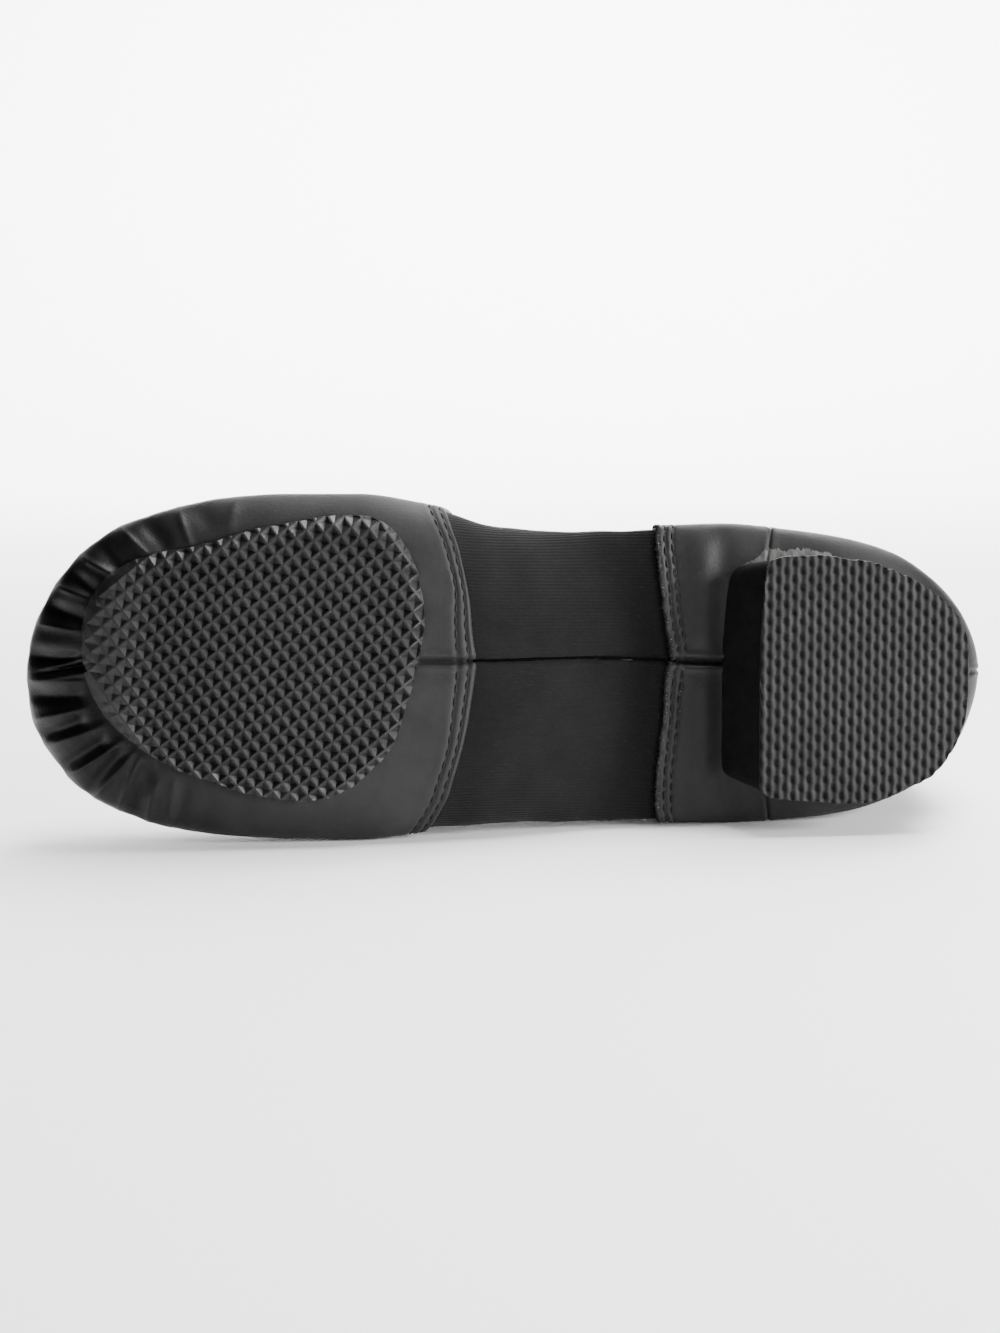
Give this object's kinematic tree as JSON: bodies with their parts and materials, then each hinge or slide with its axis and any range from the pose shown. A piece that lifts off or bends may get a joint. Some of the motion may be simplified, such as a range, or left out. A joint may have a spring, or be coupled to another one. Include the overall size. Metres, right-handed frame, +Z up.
{
  "type": "jazz shoe",
  "caption": "Soft black slip-on dance shoe with a split sole: pleated leather toe, stretch arch, rubber ball patch and low heel, lying on its side.",
  "frame": {"origin": "centre of the bounding box at floor level, under the shoe as it lies on its lateral side", "axes": "+X from toe to heel along the floor, +Z up through the medial side, sole facing -Y and collar facing +Y"},
  "size_m": [0.2382, 0.077, 0.0859],
  "materials": {
    "leather": "soft black leather with a slight sheen over black stretch fabric",
    "patch_rubber": "matt black moulded rubber",
    "heel_foam": "matt black firm foam rubber",
    "tread_rubber": "matt dark grey rubber with a woven looking tread",
    "sock": "dark napped sock"
  },
  "bodies": {
    "root": {"upper": "leather", "forefoot_sole": "patch_rubber", "heel_block": "heel_foam", "heel_top_piece": "tread_rubber", "insole": "sock"}
  },
  "joints": []
}
